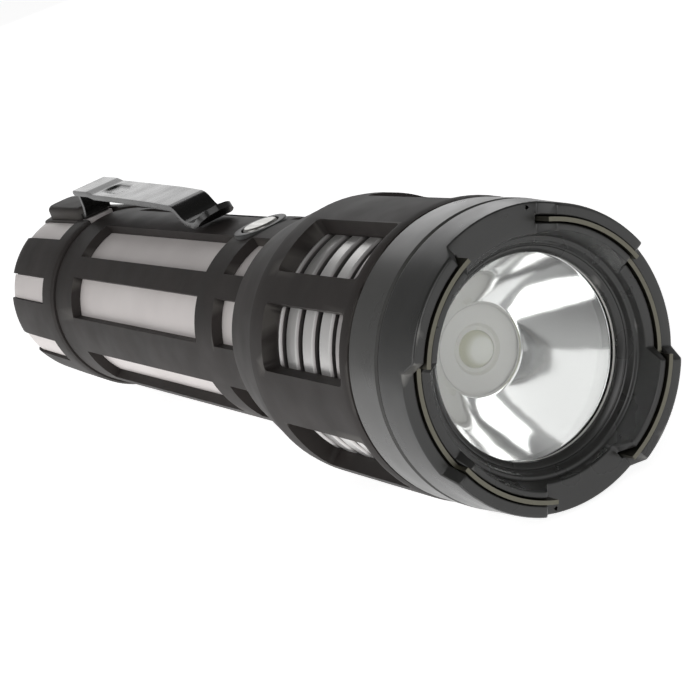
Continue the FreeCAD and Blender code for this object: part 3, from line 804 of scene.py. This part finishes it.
class FLASHLIGHT_OT_clip(bpy.types.Operator):
    """Build the clip's arm and dress its foot and screws"""
    bl_idname = "flashlight.clip"
    bl_label = "Belt clip"

    # Middle of the strip from its root to its flared tip, as stations and heights.
    line = [(137.1, 21.4), (129.8, 21.25), (127.2, 20.75), (113.0, 20.3), (100.5, 19.85),
            (92.6, 19.4), (91.4, 19.15), (90.5, 18.6), (89.2, 17.45), (88.1, 16.9), (86.7, 16.64),
            (84.6, 16.56), (83.4, 16.85), (79.95, 18.52)]
    half_width, half_thickness, bend_rounding = 3.2, 0.5, 2.5
    step, columns = 0.45, 16
    recess_front, recess_rear, recess_half_width, recess_slope = 120.0, 124.6, 1.5, 0.9

    def execute(self, context):
        settings = context.scene.flashlight_clip
        coat = black_coated_steel(settings)
        points = self.even(rounded(self.line, self.bend_rounding, 5))
        bm = bmesh.new()
        rows = [self.row(bm, points, i, settings.recess_depth / MM)
                for i in range(len(points))]
        for near, far in zip(rows, rows[1:]):
            for k in range(len(near)):
                j = (k + 1) % len(near)
                bm.faces.new((near[k], near[j], far[j], far[k]))
        for row in (rows[0], rows[-1]):
            bm.faces.new(row)
        obj = new_piece("clip_spring_arm", bm, "clip", coat, ["clip_arm"])
        soften(obj, width=0.22, angle=50.0)
        dress_rounded("clip_foot", coat, width=0.12)
        dress("clip_screws", made("bright_steel"))
        return {"FINISHED"}

    def even(self, points):
        """Points along the line, about one step apart."""
        out = [points[0]]
        for a, b in zip(points, points[1:]):
            parts = max(1, round(math.dist(a, b) / self.step))
            for i in range(1, parts + 1):
                out.append((a[0] + (b[0] - a[0]) * i / parts, a[1] + (b[1] - a[1]) * i / parts))
        too_close = 0.02
        return [p for i, p in enumerate(out) if i == 0 or math.dist(p, out[i - 1]) > too_close]

    def row(self, bm, points, i, depth):
        """Vertices once round the strip at one point of its line: its top, then its underside."""
        before, after = points[max(i - 1, 0)], points[min(i + 1, len(points) - 1)]
        along = Vector((after[0] - before[0], after[1] - before[1])).normalized()
        up = Vector((along.y, -along.x))
        if up.y < 0:
            up = -up
        steps = [math.dist(a, b) for a, b in zip(points, points[1:])]
        width = self.round_end(self.half_width, sum(steps[i:]), least=0.2)
        thickness = self.round_end(self.half_thickness, sum(steps[:i]), least=0.063)
        row = []
        for side in (1, -1):
            for c in range(self.columns + 1):
                x = width * (2.0 * c / self.columns - 1.0) * side
                sink = self.recess_share(points[i][0], x) * depth
                spot = Vector(points[i]) + up * (thickness * side - sink)
                row.append(bm.verts.new(beside(x, spot.x, spot.y)))
        return row

    @staticmethod
    def round_end(half, distance, least):
        """Half the breadth of a bar with a round end, at a distance from that end."""
        if distance >= half:
            return half
        return max(math.sqrt(half ** 2 - (half - distance) ** 2), least)

    def recess_share(self, station, x):
        """1 on the floor of the pressed recess, 0 outside it, and a smooth slope between."""
        along = max(self.recess_front - station, station - self.recess_rear, 0.0)
        away = math.hypot(along, x) - self.recess_half_width
        t = min(max(0.5 - away / self.recess_slope, 0.0), 1.0)
        return t * t * (3.0 - 2.0 * t)


class FLASHLIGHT_OT_stage(bpy.types.Operator):
    """Build the pale floor, the soft lights and the camera"""
    bl_idname = "flashlight.stage"
    bl_label = "Studio"

    def execute(self, context):
        settings = context.scene.flashlight_stage
        self.floor(context, settings)
        self.room(context)
        self.lights(context, settings)
        self.camera(context)
        context.scene.view_settings.view_transform = "Standard"
        return {"FINISHED"}

    def floor(self, context, settings):
        """Acrylic table lit from below, as wide as the camera can see."""
        half, gap = 20.0, 0.0002  # metres
        low = CAD_BOX[0].z - gap
        bm = bmesh.new()
        corners = [(-half, -half), (half, -half), (half, half), (-half, half)]
        bm.faces.new([bm.verts.new((x, y, low)) for x, y in corners])
        mesh = bpy.data.meshes.new("studio_floor")
        bm.to_mesh(mesh)
        bm.free()
        acrylic = surface("backlit_acrylic_table", (*settings.floor_colour, 1.0), Roughness=1.0,
                          Specular_IOR_Level=0.0, Emission_Color=linear("#ffffff"),
                          Emission_Strength=settings.floor_glow)[0]
        mesh.materials.append(acrylic)
        obj = bpy.data.objects.new("studio_floor", mesh)
        context.scene.collection.objects.link(obj)

    def room(self, context):
        """Pale room: light grey at the horizon and darker overhead."""
        low, high = 0.15, 0.75  # height of the view, where 1 is straight up
        world = bpy.data.worlds.new("studio_room")
        context.scene.world = world
        world.use_nodes = True
        tree = world.node_tree
        place = add(tree, "ShaderNodeTexCoord", {}, {})
        split = add(tree, "ShaderNodeSeparateXYZ", {}, {0: place.outputs["Generated"]})
        height = add(tree, "ShaderNodeMapRange", {},
                     {"Value": split.outputs["Z"], "From Min": low, "From Max": high})
        tone = add(tree, "ShaderNodeMix", {"data_type": "RGBA"},
                   {0: height.outputs[0], 6: linear("#aaaaaa"), 7: linear("#595959")})
        tree.links.new(tone.outputs[2], tree.nodes["Background"].inputs["Color"])

    def lights(self, context, settings):
        """Three soft boxes, each turned to the middle of the barrel."""
        size, target = 0.7, beside(0.0, 70.0, 0.0)
        # Name, place in metres and power in watts.
        boxes = (
            ("rear_box", (0.45, 1.0, 0.45), 2.2),
            ("front_box", (-0.35, -1.1, 0.5), 3.6),
            ("left_box", (-1.0, 0.0, 0.45), 3.0),
        )
        for name, place, power in boxes:
            data = bpy.data.lights.new(name, "AREA")
            data.energy = power * settings.light
            data.size = size
            lamp = bpy.data.objects.new(name, data)
            context.scene.collection.objects.link(lamp)
            lamp.location = place
            lamp.rotation_euler = (target - Vector(place)).to_track_quat("-Z", "Y").to_euler()

    def camera(self, context):
        """Long lens above the bezel's left, rolled so that the lamp runs across the frame."""
        data = bpy.data.cameras.new("camera")
        data.lens, data.sensor_width = 105.66, 36.0
        data.clip_start, data.clip_end = 0.01, 100.0
        camera = bpy.data.objects.new("camera", data)
        context.scene.collection.objects.link(camera)
        tilt, roll, heading = 73.915, 20.573, -28.629
        camera.location = (-0.1127, -0.3769, 0.0743)
        camera.rotation_euler = [math.radians(turn) for turn in (tilt, roll, heading)]
        context.scene.camera = camera


class FLASHLIGHT_PT_panel(bpy.types.Panel):
    """Lists the steps that build the flashlight"""
    bl_label = "Flashlight"
    bl_idname = "FLASHLIGHT_PT_panel"
    bl_space_type = "VIEW_3D"
    bl_region_type = "UI"
    bl_category = "Flashlight"

    def draw(self, context):
        for operator in OPERATORS:
            self.layout.operator(operator.bl_idname)
        for group in GROUPS:
            settings = getattr(context.scene, group)
            for name in settings.__annotations__:
                self.layout.prop(settings, name)


OPERATORS = (
    FLASHLIGHT_OT_bezel,
    FLASHLIGHT_OT_optics,
    FLASHLIGHT_OT_head,
    FLASHLIGHT_OT_barrel,
    FLASHLIGHT_OT_switch,
    FLASHLIGHT_OT_electronics,
    FLASHLIGHT_OT_tail,
    FLASHLIGHT_OT_clip,
    FLASHLIGHT_OT_stage,
)
GROUPS = {
    "flashlight_armour": FlashlightArmourSettings,
    "flashlight_metal": FlashlightMetalSettings,
    "flashlight_clip": FlashlightClipSettings,
    "flashlight_stage": FlashlightStageSettings,
}


def register():
    for group in GROUPS.values():
        bpy.utils.register_class(group)
    for name, group in GROUPS.items():
        setattr(bpy.types.Scene, name, bpy.props.PointerProperty(type=group))
    for operator in OPERATORS:
        bpy.utils.register_class(operator)
    bpy.utils.register_class(FLASHLIGHT_PT_panel)


def unregister():
    bpy.utils.unregister_class(FLASHLIGHT_PT_panel)
    for operator in reversed(OPERATORS):
        bpy.utils.unregister_class(operator)
    for name, group in reversed(GROUPS.items()):
        delattr(bpy.types.Scene, name)
        bpy.utils.unregister_class(group)


def main():
    """Runs every step in order."""
    register()
    for operator in OPERATORS:
        group, name = operator.bl_idname.split(".")
        getattr(getattr(bpy.ops, group), name)()


if __name__ == "__main__":
    main()
